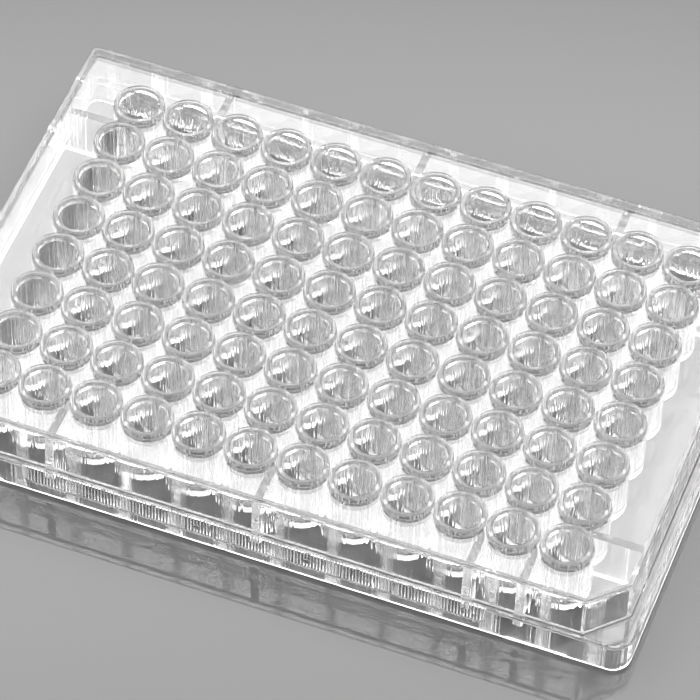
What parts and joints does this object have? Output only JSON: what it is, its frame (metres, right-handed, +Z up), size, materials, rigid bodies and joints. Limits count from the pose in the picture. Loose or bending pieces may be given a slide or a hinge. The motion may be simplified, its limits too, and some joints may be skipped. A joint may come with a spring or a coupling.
{
  "type": "well plate",
  "caption": "Clear flat-bottomed well plate with raised round rims, a stepped skirt, recessed side panels and one cut corner.",
  "frame": {"origin": "centre of the footprint, on the surface that the skirt stands on", "axes": "+X along the twelve columns, +Y along the rows towards the side without the cut corner, +Z up out of the wells"},
  "size_m": [0.1278, 0.0854, 0.0143],
  "materials": {
    "clear_plastic": "clear polished polystyrene"
  },
  "bodies": {
    "root": {"well_plate": "clear_plastic"}
  },
  "joints": []
}
